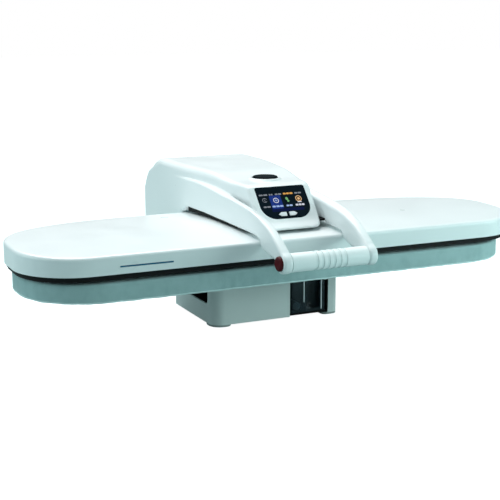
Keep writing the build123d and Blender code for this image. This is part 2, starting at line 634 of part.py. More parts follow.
# lower cover of the arm
lc = box(-ARM_X, ARM_X, -100.7, 133.7, ARM_UNDER, ARM_UNDER + 3) & taper(ARM_WALL + 0.3)
lc -= box(-20, 20, -16, 16, 180, 190)
put("arm_lower_cover", lc)
put(
    "tilt_buffers",
    solids_of(*[rbox(-24, 24, y - 7, y + 7, 176.6, ARM_UNDER, 4) for y in (-58, 58)]),
)

# steel frame of the arm: two side plates, cross beam, lug
frame = box(-87.2, 87.2, 205, 245, 190, 210)
frame += box(-35, 35, -60, 206, 190, 208)
frame -= box(-32, 32, -70, 202, 193, 205)
for sx in (-1, 1):
    x0, x1 = (87.2, 89.9) if sx > 0 else (-89.9, -87.2)
    plate_side = yz(
        make_face(
            Polyline(
                (312, 99), (288, 99), (276, 118), (240, 184), (200, 190), (200, 210), (300, 215),
                (330, 160), (322, 112), close=True,
            )
        ),
        x0, x1,
    )
    frame += plate_side - cylx(x0 - 2, x1 + 2, HINGE_Y, HINGE_Z, SHAFT_R)
put("arm_frame", frame)
lug = box(-15, 15, -11, 11, 158, 190)
lug += cylx(-15, 15, PIVOT_Y, PIVOT_Z, 11) & box(-20, 20, -12, 12, 140, 190)
lug -= box(-16, 16, -12, 12, 140, 151.5)
lug -= cylx(-20, 20, PIVOT_Y, PIVOT_Z, 5.0 + BUSH_CLEAR)
put("pivot_lug", lug)
shaft = cylx(-90.5, 90.5, HINGE_Y, HINGE_Z, SHAFT_R) - cylx(-95, 95, HINGE_Y, HINGE_Z, SHAFT_BORE)
put("hinge_shaft", shaft)

# struts from the frame out into the cheeks carry the handle
struts = []
for sx in (-1, 1):
    a, b = (73.2, 81.2) if sx > 0 else (-81.2, -73.2)
    pts = [
        (80, 190), (-90, 190), (-160, 188), (-200, 176), (-221, 163.5), (-230, 160), (-229, 166),
        (-212, 176), (-186, 190), (-150, 202), (-100, 208), (80, 210),
    ]
    strut = yz(make_face(Polyline(*pts, close=True)), a, b)
    strut -= cylx(a - 1, b + 1, HANDLE_Y, HANDLE_Z, 17.4)
    c, d = (35, 74) if sx > 0 else (-74, -35)
    struts.append(strut + box(c, d, 40, 75, 191, 196))
put("handle_struts", solids_of(*struts))

# handle: steel core, grip sleeve, release button with spring
core = cylx(-HANDLE_HALF + 14, HANDLE_HALF - 4, HANDLE_Y, HANDLE_Z, 10.0) - cylx(-HANDLE_HALF + 10, HANDLE_HALF - 2, HANDLE_Y, HANDLE_Z, 8.5)
put("handle_core", core)
grip = cylx(-CHEEK_IN, CHEEK_IN, HANDLE_Y, HANDLE_Z, HANDLE_R) - cylx(-CHEEK_IN - 1, CHEEK_IN + 1, HANDLE_Y, HANDLE_Z, 10.0)
for i in range(6):
    x = -26.25 + i * 10.5
    grip -= cylx(x - 2.4, x + 2.4, HANDLE_Y, HANDLE_Z, HANDLE_R + 1) - cylx(x - 3, x + 3, HANDLE_Y, HANDLE_Z, HANDLE_R - 0.9)
put("handle_grip", grip)
btn = cylx(-HANDLE_HALF - 5.0, -HANDLE_HALF + 0.2, HANDLE_Y, HANDLE_Z, 12.0)
btn = try_fillet(btn, [e for e in btn.edges() if e.center().X < -HANDLE_HALF - 4.9], [3.0, 2.0, 1.0])
btn += cylx(-HANDLE_HALF + 0.2, -HANDLE_HALF + 22, HANDLE_Y, HANDLE_Z, 4.0)
put("release_button", btn)
gd = cylx(-HANDLE_HALF + 5.0, -HANDLE_HALF + 13.9, HANDLE_Y, HANDLE_Z, 9.7) - cylx(-HANDLE_HALF + 4, -HANDLE_HALF + 15, HANDLE_Y, HANDLE_Z, 4.05)
put("button_guide", gd)
put("button_spring", coil(-HANDLE_HALF + 23, 6, 3.6, 4.6, 0.6, HANDLE_Y, HANDLE_Z))

# ================================================================= TANK
tank = rbox(TANK_X0, TANK_X1, TANK_Y0, TANK_Y1, TANK_Z0, TANK_Z1, 6)
tank_in = rbox(TANK_X0 + 2.2, TANK_X1 - 2.2, TANK_Y0 + 2.2, TANK_Y1 - 2.2, TANK_Z0 + 2.2, TANK_Z1 - 2.2, 4)
grip_cut = rbox(60, 88, TANK_Y0 - 20, TANK_Y0 + 17, TANK_Z0 + 6, TANK_Z1 + 2, 9)
grip_keep = rbox(57.8, 90.2, TANK_Y0 - 22, TANK_Y0 + 19.2, TANK_Z0 + 3.8, TANK_Z1 + 4, 10)
tank = tank - grip_cut
tank = tank - (tank_in - grip_keep)
tank -= cylz(TANK_Z1 - 5, TANK_Z1 + 2, 44, TANK_Y0 + 22, 11.0)
tank -= cyly(TANK_Y1 - 4, TANK_Y1 + 2, 64, 24, 6.9)
tank_s = max(tank.solids(), key=lambda s: s.volume)
put("water_tank", tank_s)
cap = cylz(TANK_Z1 - 6.0, TANK_Z1, 44, TANK_Y0 + 22, 10.93)
cap -= cylz(TANK_Z1 - 1.2, TANK_Z1 + 1, 44, TANK_Y0 + 22, 7.5)
cap += box(42.6, 45.4, TANK_Y0 + 15, TANK_Y0 + 29, TANK_Z1 - 1.3, TANK_Z1)
put("tank_cap", cap)
put("tank_filter", cyly(TANK_Y0 + 4, TANK_Y0 + 34, 42, TANK_Z0 + 12, 7.5))

# ---------------------------------------------------------------- write
for name, shape in parts.items():
    moved = shape.moved(Location((0, Y_SHIFT, 0)))
    export_step(moved, "parts/" + name + ".step")
print(len(parts), "nodes written")
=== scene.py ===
import math

import bmesh
import bpy
import numpy as np
from mathutils import Matrix, Vector


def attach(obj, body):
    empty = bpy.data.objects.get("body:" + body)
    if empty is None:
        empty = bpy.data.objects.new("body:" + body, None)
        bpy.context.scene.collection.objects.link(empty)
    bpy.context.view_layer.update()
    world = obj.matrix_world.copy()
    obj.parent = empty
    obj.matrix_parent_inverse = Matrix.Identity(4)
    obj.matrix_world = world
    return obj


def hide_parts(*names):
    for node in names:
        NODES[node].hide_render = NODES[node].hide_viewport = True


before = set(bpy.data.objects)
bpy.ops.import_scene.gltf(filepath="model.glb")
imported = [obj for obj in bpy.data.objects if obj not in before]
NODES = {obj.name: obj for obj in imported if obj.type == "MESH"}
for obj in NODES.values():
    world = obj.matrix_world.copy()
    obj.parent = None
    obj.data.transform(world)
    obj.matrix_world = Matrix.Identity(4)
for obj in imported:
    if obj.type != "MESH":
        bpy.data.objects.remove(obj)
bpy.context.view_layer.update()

Y_SHIFT = -54.5


# ------------------------------------------------------------------ helpers
def P(x, y, z):
    """Shape coordinates in millimetres, Y = 0 at the plate's middle, to metres in the row frame."""
    return (x / 1000.0, (y + Y_SHIFT) / 1000.0, z / 1000.0)


def smoothstep(a, b, x):
    t = np.clip((x - a) / (b - a), 0.0, 1.0)
    return t * t * (3 - 2 * t)


def make_object(name, verts, faces, mats=(), angle=None, face_mat=None):
    """Mesh object from points in millimetres."""
    v = np.asarray(verts, float).reshape(-1, 3)
    v = np.stack([v[:, 0] / 1000.0, (v[:, 1] + Y_SHIFT) / 1000.0, v[:, 2] / 1000.0], axis=1)
    me = bpy.data.meshes.new(name)
    me.from_pydata(v.tolist(), [], [list(map(int, f)) for f in faces])
    me.validate()
    ob = bpy.data.objects.new(name, me)
    bpy.context.scene.collection.objects.link(ob)
    for m in mats:
        me.materials.append(m)
    if face_mat is not None:
        me.polygons.foreach_set("material_index", np.asarray(face_mat, np.int32))
    finish_mesh(ob, angle)
    return ob


def finish_mesh(ob, angle=None, recalc=True):
    me = ob.data
    if recalc:
        bm = bmesh.new()
        bm.from_mesh(me)
        bmesh.ops.recalc_face_normals(bm, faces=bm.faces)
        bm.to_mesh(me)
        bm.free()
    me.polygons.foreach_set("use_smooth", [True] * len(me.polygons))
    if angle is not None:
        me.set_sharp_from_angle(angle=math.radians(angle))
    me.update()


def bake_modifiers(ob):
    """The object's mesh with its modifiers applied."""
    dg = bpy.context.evaluated_depsgraph_get()
    dg.update()
    new = bpy.data.meshes.new_from_object(ob.evaluated_get(dg))
    old = ob.data
    ob.modifiers.clear()
    ob.data = new
    bpy.data.meshes.remove(old)
    return ob


def join(objs, name):
    """One object from several, keeping their materials."""
    bm = bmesh.new()
    mats = []
    for o in objs:
        me = o.data
        remap = []
        for m in me.materials:
            if m not in mats:
                mats.append(m)
            remap.append(mats.index(m))
        start = len(bm.faces)
        bm.from_mesh(me)
        bm.faces.ensure_lookup_table()
        for f in bm.faces[start:]:
            if remap:
                f.material_index = remap[min(f.material_index, len(remap) - 1)]
    me = bpy.data.meshes.new(name)
    bm.to_mesh(me)
    bm.free()
    for m in mats:
        me.materials.append(m)
    ob = bpy.data.objects.new(name, me)
    bpy.context.scene.collection.objects.link(ob)
    for o in objs:
        bpy.data.objects.remove(o)
    return ob


def tool(name, verts, faces):
    ob = make_object(name, verts, faces)
    ob.hide_render = True
    return ob


def cut(ob, cutters, solver="EXACT", op="DIFFERENCE"):
    """Boolean with a list of objects, which are removed."""
    for c in cutters:
        m = ob.modifiers.new("cut", "BOOLEAN")
        m.operation = op
        m.solver = solver
        m.object = c
    bake_modifiers(ob)
    for c in cutters:
        bpy.data.objects.remove(c)
    return ob


# ------------------------------------------------------------------ materials
class Mat:
    """Principled material with a few procedural layers."""

    def __init__(self, name):
        self.m = bpy.data.materials.new(name)
        self.m.use_nodes = True
        self.n = self.m.node_tree.nodes
        self.l = self.m.node_tree.links
        self.b = self.n["Principled BSDF"]
        self.tc = self.n.new("ShaderNodeTexCoord").outputs["Object"]
        self.height = None

    def set(self, **kw):
        for k, v in kw.items():
            self.b.inputs[k.replace("_", " ")].default_value = v
        return self

    def coords(self, scale=(1, 1, 1), rot=(0, 0, 0)):
        mp = self.n.new("ShaderNodeMapping")
        mp.inputs["Scale"].default_value = scale
        mp.inputs["Rotation"].default_value = rot
        self.l.new(self.tc, mp.inputs["Vector"])
        return mp.outputs["Vector"]

    def noise(self, scale, detail=3.0, rough=0.5, vec=None, distortion=0.0):
        t = self.n.new("ShaderNodeTexNoise")
        t.inputs["Scale"].default_value = scale
        t.inputs["Detail"].default_value = detail
        t.inputs["Roughness"].default_value = rough
        t.inputs["Distortion"].default_value = distortion
        self.l.new(vec if vec is not None else self.tc, t.inputs["Vector"])
        return t.outputs["Fac"]

    def voronoi(self, scale, vec=None, feature="F1"):
        t = self.n.new("ShaderNodeTexVoronoi")
        t.feature = feature
        t.inputs["Scale"].default_value = scale
        self.l.new(vec if vec is not None else self.tc, t.inputs["Vector"])
        return t.outputs["Distance"]

    def math(self, op, a, b=None, c=None, clamp=False):
        t = self.n.new("ShaderNodeMath")
        t.operation = op
        t.use_clamp = clamp
        for i, v in enumerate((a, b, c)):
            if v is None:
                continue
            if isinstance(v, (int, float)):
                t.inputs[i].default_value = v
            else:
                self.l.new(v, t.inputs[i])
        return t.outputs[0]

    def ramp(self, fac, lo, hi, a=0.0, b=1.0):
        """Maps fac from lo..hi to a..b."""
        t = self.n.new("ShaderNodeMapRange")
        t.inputs["From Min"].default_value = lo
        t.inputs["From Max"].default_value = hi
        t.inputs["To Min"].default_value = a
        t.inputs["To Max"].default_value = b
        self.l.new(fac, t.inputs["Value"])
        return t.outputs["Result"]

    def mix(self, fac, a, b):
        t = self.n.new("ShaderNodeMix")
        t.data_type = "RGBA"
        for sock, v in ((t.inputs["Factor"], fac), (t.inputs["A"], a), (t.inputs["B"], b)):
            if isinstance(v, (int, float)):
                sock.default_value = v
            elif isinstance(v, tuple):
                sock.default_value = (*v[:3], 1.0)
            else:
                self.l.new(v, sock)
        return t.outputs["Result"]

    def xyz(self):
        t = self.n.new("ShaderNodeSeparateXYZ")
        self.l.new(self.tc, t.inputs[0])
        return t.outputs["X"], t.outputs["Y"], t.outputs["Z"]

    def color(self, out):
        if isinstance(out, tuple):
            self.b.inputs["Base Color"].default_value = (*out[:3], 1.0)
        else:
            self.l.new(out, self.b.inputs["Base Color"])
        return self

    def rough(self, out):
        self.l.new(out, self.b.inputs["Roughness"])
        return self

    def bump(self, height, distance, strength=1.0):
        t = self.n.new("ShaderNodeBump")
        t.inputs["Strength"].default_value = strength
        t.inputs["Distance"].default_value = distance
        self.l.new(height, t.inputs["Height"])
        if self.height is not None:
            self.l.new(self.height, t.inputs["Normal"])
        self.height = t.outputs["Normal"]
        self.l.new(self.height, self.b.inputs["Normal"])
        return self


def plastic(name, col, rough=0.3, vary=0.03, grain=1400.0, depth=0.00003, coat=0.0, blotch=14.0, spec=0.5, ior=1.5, gloss=170.0):
    """Moulded plastic: slight unevenness of colour and gloss, fine grain."""
    m = Mat(name)
    n1 = m.noise(blotch, 3)
    n2 = m.noise(gloss, 2)
    a = tuple(c * (1 - vary) for c in col)
    b = tuple(min(1.0, c * (1 + vary)) for c in col)
    m.color(m.mix(m.ramp(n1, 0.3, 0.7), a, b))
    m.rough(m.ramp(n2, 0.25, 0.75, rough * 0.85, rough * 1.15))
    m.bump(m.noise(grain, 2, 0.6), depth, 0.6)
    m.set(Coat_Weight=coat, Coat_Roughness=0.08, Specular_IOR_Level=spec, IOR=ior)
    return m.m


def metal(name, col, rough=0.3, stretch=(4, 400, 400), vary=0.06, depth=0.00002):
    """Metal with brushed or rolled lines."""
    m = Mat(name)
    v = m.coords(scale=stretch)
    n1 = m.noise(1.0, 4, 0.6, vec=v)
    n2 = m.noise(25.0, 3)
    a = tuple(c * (1 - vary) for c in col)
    m.color(m.mix(m.ramp(n1, 0.3, 0.7), a, col))
    m.rough(m.ramp(n2, 0.3, 0.7, rough * 0.8, rough * 1.25))
    m.bump(n1, depth, 0.5)
    m.set(Metallic=1.0)
    return m.m


M = {}
M["white"] = plastic("white_gloss", (0.81, 0.865, 0.87), 0.32, vary=0.012, coat=0.15, grain=20, depth=0.000015, blotch=5, gloss=16)
M["base"] = plastic("base_grey", (0.70, 0.78, 0.765), 0.5, vary=0.03, grain=120, depth=0.00003, blotch=7, gloss=60)
M["black"] = plastic("black_plastic", (0.005, 0.0055, 0.006), 0.55, vary=0.2, grain=120, depth=0.00003, spec=0.12)
M["dark"] = plastic("dark_gloss", (0.008, 0.012, 0.014), 0.42, vary=0.1, grain=90, depth=0.00001, spec=0.05, ior=1.15)
M["glass"] = plastic("screen_glass", (0.004, 0.009, 0.014), 0.16, vary=0.3, grain=60, depth=0.000005, spec=0.10, blotch=25, ior=1.3)
M["key"] = plastic("key_white", (0.82, 0.84, 0.86), 0.32, vary=0.02)
M["red"] = plastic("button_red", (0.075, 0.004, 0.007), 0.36, vary=0.12, coat=0.0, grain=120, depth=0.00002, spec=0.15, blotch=90)
M["board"] = plastic("board_green", (0.02, 0.14, 0.06), 0.35, vary=0.2, blotch=220)
M["component"] = plastic("component_dark", (0.03, 0.03, 0.035), 0.4, vary=0.15)
M["rubber"] = plastic("rubber_grey", (0.36, 0.41, 0.40), 0.75, vary=0.08, grain=300, depth=0.00008, spec=0.3)
M["buffer"] = plastic("rubber_dark", (0.05, 0.053, 0.053), 0.8, vary=0.1, grain=300, depth=0.00008, spec=0.3)
M["plate"] = plastic("plate_coating", (0.007, 0.0075, 0.008), 0.5, vary=0.25, grain=140, depth=0.00003, blotch=30, spec=0.14)
M["cast"] = metal("cast_aluminium", (0.62, 0.64, 0.65), 0.42, (90, 90, 90), vary=0.15)
M["heater"] = metal("heater_steel", (0.34, 0.30, 0.28), 0.42, (60, 60, 60), vary=0.2)
M["steel"] = metal("steel", (0.55, 0.56, 0.57), 0.28, (300, 30, 30))
M["tray"] = metal("tray_metal", (0.48, 0.50, 0.51), 0.45, (70, 70, 70), vary=0.18)
M["brass"] = metal("brass", (0.72, 0.53, 0.22), 0.3, (200, 60, 200))
M["hose"] = plastic("hose", (0.62, 0.60, 0.55), 0.4, vary=0.05)
M["felt"] = plastic("pad_felt", (0.55, 0.53, 0.48), 0.95, vary=0.12, grain=700, depth=0.0004, blotch=300, spec=0.2)


def smoke():
    m = Mat("tank_smoke")
    n = m.noise(40.0, 3)
    m.color(m.mix(m.ramp(n, 0.3, 0.7), (0.20, 0.28, 0.33), (0.25, 0.33, 0.38)))
    m.rough(m.ramp(m.noise(120.0, 2), 0.3, 0.7, 0.08, 0.16))
    m.bump(m.noise(30.0, 2), 0.0003, 0.2)
    m.set(Transmission_Weight=0.93, IOR=1.35, Specular_IOR_Level=0.35)
    return m.m


M["smoke"] = smoke()


def grip():
    """White sleeve, with painted shade darkening its six grooves."""
    m = Mat("grip_white")
    x, y, z = m.xyz()
    t = m.math("FRACT", m.math("MULTIPLY_ADD", x, 1 / 0.0105, 3.0))
    groove_shade = m.ramp(m.math("ABSOLUTE", m.math("SUBTRACT", t, 0.5)), 0.27, 0.17)
    near = m.ramp(m.math("ABSOLUTE", x), 0.0306, 0.0292)
    base = m.mix(m.ramp(m.noise(6.0, 3), 0.3, 0.7), (0.85, 0.92, 0.92), (0.88, 0.945, 0.945))
    # painted shade: inside the flutes the colour is mixed toward a dark cyan grey that stands for the shade in the
    # grooves
    m.color(m.mix(m.math("MULTIPLY", m.math("MULTIPLY", groove_shade, near), 0.20), base, (0.42, 0.54, 0.54)))
    m.rough(m.ramp(m.noise(30.0, 2), 0.25, 0.75, 0.30, 0.38))
    m.bump(m.noise(40.0, 2), 0.00002, 0.5)
    return m.m


M["grip"] = grip()

NODE_MATERIAL = {
    "white": "arm_cover top_shell",
    "base": "base_housing column_housing",
    "black": "hand_hold_liners tank_bay_liner base_plate board_spacers mains_inlet switch_bezel switch_rocker insulating_rim arm_lower_cover docking_valve button_guide",
    "dark": "dial_knob",
    "glass": "display_glass",
    "key": "key_left key_right tank_cap",
    "red": "release_button",
    "board": "power_board control_board",
    "component": "power_components board_components dial_encoder steam_pump display_module board_posts thermal_fuse",
    "rubber": "rubber_feet",
    "buffer": "tilt_buffers",
    "grip": "handle_grip",
    "plate": "heating_plate",
    "heater": "heating_element thermostat",
    "steel": "base_screws head_screws rim_screws hinge_shaft arm_frame pivot_lug pivot_pin pivot_block handle_struts handle_core hinge_brackets torsion_springs button_spring",
    "cast": "steam_chamber",
    "tray": "board_pan pump_bracket",
    "brass": "inlet_contacts hinge_bushes steam_elbow",
    "hose": "water_hoses tank_filter",
    "smoke": "water_tank",
}
NODE_MATERIAL["felt"] = "board_pad board_cover"
for key, names in NODE_MATERIAL.items():
    for name in names.split():
        ob = NODES[name]
        if not ob.material_slots:
            ob.data.materials.append(M[key])
        for s in ob.material_slots:
            s.material = M[key]

# ------------------------------------------------------------------ distance fields
def catmull(pts, n=6):
    """Smooth open curve through the points."""
    p = np.asarray(pts, float)
    q = np.vstack([2 * p[0] - p[1], p, 2 * p[-1] - p[-2]])
    out = []
    t = np.linspace(0, 1, n, endpoint=False)[:, None]
    for i in range(len(p) - 1):
        a, b, c, d = q[i], q[i + 1], q[i + 2], q[i + 3]
        out.append(0.5 * (2 * b + (c - a) * t + (2 * a - 5 * b + 4 * c - d) * t**2 + (3 * b - a - 3 * c + d) * t**3))
    out.append(p[-1:])
    return np.vstack(out).tolist()


def polygon_distance(pts, X, Y):
    """Signed distance to a closed polygon, negative inside."""
    p = np.asarray(pts, np.float32)
    best = np.full(X.shape, 1e12, np.float32)
    inside = np.zeros(X.shape, bool)
    for i in range(len(p)):
        a, b = p[i], p[(i + 1) % len(p)]
        ex, ey = float(b[0] - a[0]), float(b[1] - a[1])
        if ex * ex + ey * ey < 1e-9:
            continue
        wx, wy = X - a[0], Y - a[1]
        t = np.clip((wx * ex + wy * ey) / (ex * ex + ey * ey), 0, 1)
        best = np.minimum(best, (wx - ex * t) ** 2 + (wy - ey * t) ** 2)
        if abs(ey) > 1e-9:
            inside ^= ((a[1] <= Y) != (b[1] <= Y)) & (X < a[0] + (Y - a[1]) * ex / ey)
    d = np.sqrt(best)
    return np.where(inside, -d, d)


class Field2:
    """A function of two coordinates, tabulated and read back by interpolation."""

    def __init__(self, fn, u0, u1, v0, v1, step=0.75, blur=0):
        self.u0, self.v0, self.step = u0, v0, step
        u = np.arange(u0, u1 + step, step, dtype=np.float32)
        v = np.arange(v0, v1 + step, step, dtype=np.float32)
        g = fn(*np.meshgrid(u, v, indexing="ij"))
        for _ in range(blur):
            e = np.pad(g, 1, mode="edge")
            g = (e[:-2, 1:-1] + 2 * e[1:-1, 1:-1] + e[2:, 1:-1]) / 4
            e = np.pad(g, 1, mode="edge")
            g = (e[1:-1, :-2] + 2 * e[1:-1, 1:-1] + e[1:-1, 2:]) / 4
        self.g = g

    def __call__(self, u, v):
        a = np.clip((u - self.u0) / self.step, 0, self.g.shape[0] - 1.001)
        b = np.clip((v - self.v0) / self.step, 0, self.g.shape[1] - 1.001)
        i, j = a.astype(np.int32), b.astype(np.int32)
        a, b = a - i, b - j
        g = self.g
        return (g[i, j] * (1 - a) + g[i + 1, j] * a) * (1 - b) + (g[i, j + 1] * (1 - a) + g[i + 1, j + 1] * a) * b


def rmax(a, b, r):
    """Intersection with a rounded edge."""
    return np.minimum(-r, np.maximum(a, b)) + np.hypot(np.maximum(a + r, 0), np.maximum(b + r, 0))


def rmin(a, b, r):
    """Union with a filleted corner."""
    return np.maximum(r, np.minimum(a, b)) - np.hypot(np.maximum(r - a, 0), np.maximum(r - b, 0))


def surface_net(field, x, y, z, project=4):
    """Quads on the zero surface of a field, sampled on a grid and moved onto the surface."""
    step = float(x[1] - x[0])
    f = field(x[:, None, None], y[None, :, None], z[None, None, :]).astype(np.float32)
    s = f < 0
    count = np.zeros(tuple(n - 1 for n in f.shape), np.int8)
    for a in (0, 1):
        for b in (0, 1):
            for c in (0, 1):
                count += s[a:s.shape[0] - 1 + a, b:s.shape[1] - 1 + b, c:s.shape[2] - 1 + c]
    active = (count > 0) & (count < 8)
    cell = np.argwhere(active)
    index = np.full(active.shape, -1, np.int64)
    index[active] = np.arange(len(cell))
    total = np.zeros((len(cell), 3))
    hits = np.zeros(len(cell))
    corners = [(a, b, c) for a in (0, 1) for b in (0, 1) for c in (0, 1)]
    for p in corners:
        for axis in range(3):
            if p[axis]:
                continue
            q = list(p)
            q[axis] = 1
            fa = f[cell[:, 0] + p[0], cell[:, 1] + p[1], cell[:, 2] + p[2]]
            fb = f[cell[:, 0] + q[0], cell[:, 1] + q[1], cell[:, 2] + q[2]]
            on = (fa < 0) != (fb < 0)
            t = np.where(on, fa / np.where(on, fa - fb, 1), 0)
            pos = np.tile(np.array(p, float), (len(cell), 1))
            pos[:, axis] = t
            total[on] += pos[on]
            hits[on] += 1
    v = (cell + total / hits[:, None]) * step + np.array([x[0], y[0], z[0]])
    quads = []
    for axis in range(3):
        lo = [slice(None)] * 3
        hi = [slice(None)] * 3
        lo[axis], hi[axis] = slice(0, -1), slice(1, None)
        change = s[tuple(lo)] != s[tuple(hi)]
        e = np.argwhere(change)
        b, c = [k for k in range(3) if k != axis]
        ok = (e[:, b] > 0) & (e[:, c] > 0) & (e[:, b] < s.shape[b] - 1) & (e[:, c] < s.shape[c] - 1)
        e = e[ok]
        ring = []
        for db, dc in ((-1, -1), (0, -1), (0, 0), (-1, 0)):
            k = e.copy()
            k[:, b] += db
            k[:, c] += dc
            ring.append(index[k[:, 0], k[:, 1], k[:, 2]])
        q = np.stack(ring, axis=1)
        solid_first = s[tuple(e.T)]
        flip = solid_first if axis != 1 else ~solid_first
        q[~flip] = q[~flip][:, ::-1]
        quads.append(q)
    quads = np.vstack(quads)
    h = 0.25
    for _ in range(project):
        d = field(v[:, 0], v[:, 1], v[:, 2])
        g = np.stack(
            [
                field(v[:, 0] + h, v[:, 1], v[:, 2]) - field(v[:, 0] - h, v[:, 1], v[:, 2]),
                field(v[:, 0], v[:, 1] + h, v[:, 2]) - field(v[:, 0], v[:, 1] - h, v[:, 2]),
                field(v[:, 0], v[:, 1], v[:, 2] + h) - field(v[:, 0], v[:, 1], v[:, 2] - h),
            ],
            axis=1,
        ) / (2 * h)
        n2 = np.maximum((g * g).sum(axis=1), 0.05)
        move = -(d / n2)[:, None] * g
        size = np.linalg.norm(move, axis=1)
        v += move * np.minimum(1.0, 0.45 * step / np.maximum(size, 1e-9))[:, None]
    return v, quads


# ------------------------------------------------------------------ arm's cover
HANDLE = (-236.0, 148.0)
cheek_top = [
    (167, 235.8), (120, 235.7), (80, 235.0), (40, 232.6), (0, 229.0), (-40, 225.6), (-80, 222.0), (-110, 218.2),
    (-140, 213.3), (-165, 206.6), (-190, 196.9), (-215, 183.0), (-235, 169.2),
]
cheek_poly = catmull(cheek_top) + [
    (-240, 160), (-238, 146), (-210, 150.5), (-191, 153.5), (-170, 158.5), (-163, 164), (-158, 172), (-146, 177),
    (-60, 179.7), (60, 183), (135, 183), (138, 178.5), (143, 174.6), (152, 173.3), (160, 170), (166, 163), (166, 60), (362, 60), (362, 190), (351, 209),
    (338, 225), (320, 234),
]
hump_top = [
    (270, 257.0), (240, 257.2), (205, 257.4), (170, 257.5), (135, 257.4), (100, 257.0), (75, 256.3), (50, 254.6),
    (22, 251.0), (-6, 247.8), (-28, 246.6), (-47, 246.0),
]
hump_poly = catmull(hump_top) + [
    (-53.5, 244.6), (-59.0, 241.6), (-101.6, 192.5), (-106.5, 187.9), (-112.5, 184.0), (-118.0, 181.0),
    (-121.0, 178.6), (-121.6, 177.2), (-120.4, 176.2), (-104, 176.6), (-99, 181), (137, 183), (166, 166), (166, 60), (362, 60),
    (362, 190), (352, 209), (338, 225), (322, 237.5), (308, 246.5), (292, 253.6),
]
half_plan = [
    (94, 380), (94, 200), (92.5, 165), (88, 128), (78.6, 60), (72, 10), (64.5, -30), (60.4, -60), (59.4, -80),
    (58.4, -98), (55.5, -110), (49.5, -119), (40, -126),
]
plan_poly = [(94, 380)] + catmull(half_plan[1:]) + [(20, -131), (0, -132)]
plan_poly = plan_poly + [(-a, b) for a, b in reversed(plan_poly[:-1])]


def side_profile(Y, Z):
    d = polygon_distance(cheek_poly, Y, Z)
    boss = np.hypot(Y - HANDLE[0], Z - HANDLE[1]) - 17.0
    return rmin(d, boss, 5.0)


side2 = Field2(side_profile, -275, 385, 40, 280, 0.75, blur=2)
hump2 = Field2(lambda a, b: polygon_distance(hump_poly, a, b), -275, 385, 40, 280, 0.75, blur=2)
plan2 = Field2(lambda a, b: polygon_distance(plan_poly, a, b), -2, 110, -275, 385, 0.75, blur=1)
TOP_Y = [p[0] for p in reversed(cheek_top)]
TOP_Z = [p[1] for p in reversed(cheek_top)]
HALF_Y = [p[1] for p in reversed(half_plan)]
HALF_X = [p[0] for p in reversed(half_plan)]


def arm_outer(x, y, z):
    ax = np.abs(x)
    xo = np.interp(y, [-140, 140], [85.5, 94.0])
    zt = np.interp(y, TOP_Y, TOP_Z)
    drop = np.interp(y, [-235, -200, -160, -140, -60, 0, 60], [0, 1, 3, 4.4, 4.4, 2, 0])
    drop = drop * np.clip((xo - ax) / 17.0, 0, 1.0) * np.clip((z - zt + 18) / 12.0, 0, 1)
    side = rmax(side2(y + 0 * z, z + drop), ax - xo, 4.0)
    valley = np.minimum(
        np.maximum(ax - 69.0, y + 72.0), np.maximum(np.maximum(ax - 69.0, 191.0 - z), y - 110.0)
    )
    side = rmax(side, -valley, 5.0)
    hump = rmax(hump2(y + 0 * z, z + 0 * y), plan2(ax + 0 * y, y + 0 * ax), np.interp(y, [-60, 20, 120, 250], [7, 10, 14, 13]))
    k = np.clip((xo - np.interp(y, HALF_Y, HALF_X)) * 0.45, 0.02, 3.5)
    d = rmin(side, hump, k)
    rho = np.hypot(x, y + 6.0)
    collar = rmax(np.maximum(rho - 27.5, 238.0 - z), z - 250.2, 1.6)
    return rmin(d, collar, 2.5)


def arm_cavity(x, y, z):
    boss = np.hypot(y - HANDLE[0], z - HANDLE[1])
    hollow = np.maximum(arm_outer(x, y, z) + 3.0, 17.6 - boss)
    hollow = np.maximum(hollow, np.minimum(z - 241.5, 28.5 - np.hypot(x, y + 6.0)))
    xo = np.interp(y, [-140, 140], [85.5, 94.0])
    under = np.maximum(
        np.maximum(np.abs(x) - (xo - 3.0), -101.0 - y), np.maximum(np.maximum(y - 134.0, z - 187.0), 160.0 - z)
    )
    return np.minimum(hollow, under)


# display's plane
DISP_C = np.array([0.0, -80.3, 217.05])
DISP_U = np.array([0.0, 0.6553, 0.7553])
DISP_N = np.array([0.0, -0.7553, 0.6553])


def on_display(pts, h):
    """Points (x, t) on the display, h above its plane."""
    return [tuple(DISP_C + np.array([x, 0, 0]) + t * DISP_U + h * DISP_N) for x, t in pts]


def prism(name, ring, h0, h1, mats=(), place=on_display):
    """Closed prism over an outline."""
    n = len(ring)
    v = place(ring, h0) + place(ring, h1)
    f = [list(range(n))[::-1], [n + i for i in range(n)]]
    f += [(i, (i + 1) % n, n + (i + 1) % n, n + i) for i in range(n)]
    return make_object(name, v, f, mats)


def arc(cx, cy, r, a0, a1, n=10):
    return [(cx + r * math.cos(math.radians(a0 + (a1 - a0) * i / n)), cy + r * math.sin(math.radians(a0 + (a1 - a0) * i / n))) for i in range(n + 1)]


def display_ring(e):
    hw, hh, rt, rb = 47.3 - e, 32.5 - e, 4.0, 27.0 - e
    return (
        arc(hw - rt, hh - rt, rt, 0, 90) + arc(-hw + rt, hh - rt, rt, 90, 180)
        + arc(-hw + rb, -hh + rb, rb, 180, 270, 16) + arc(hw - rb, -hh + rb, rb, 270, 360, 16)
    )


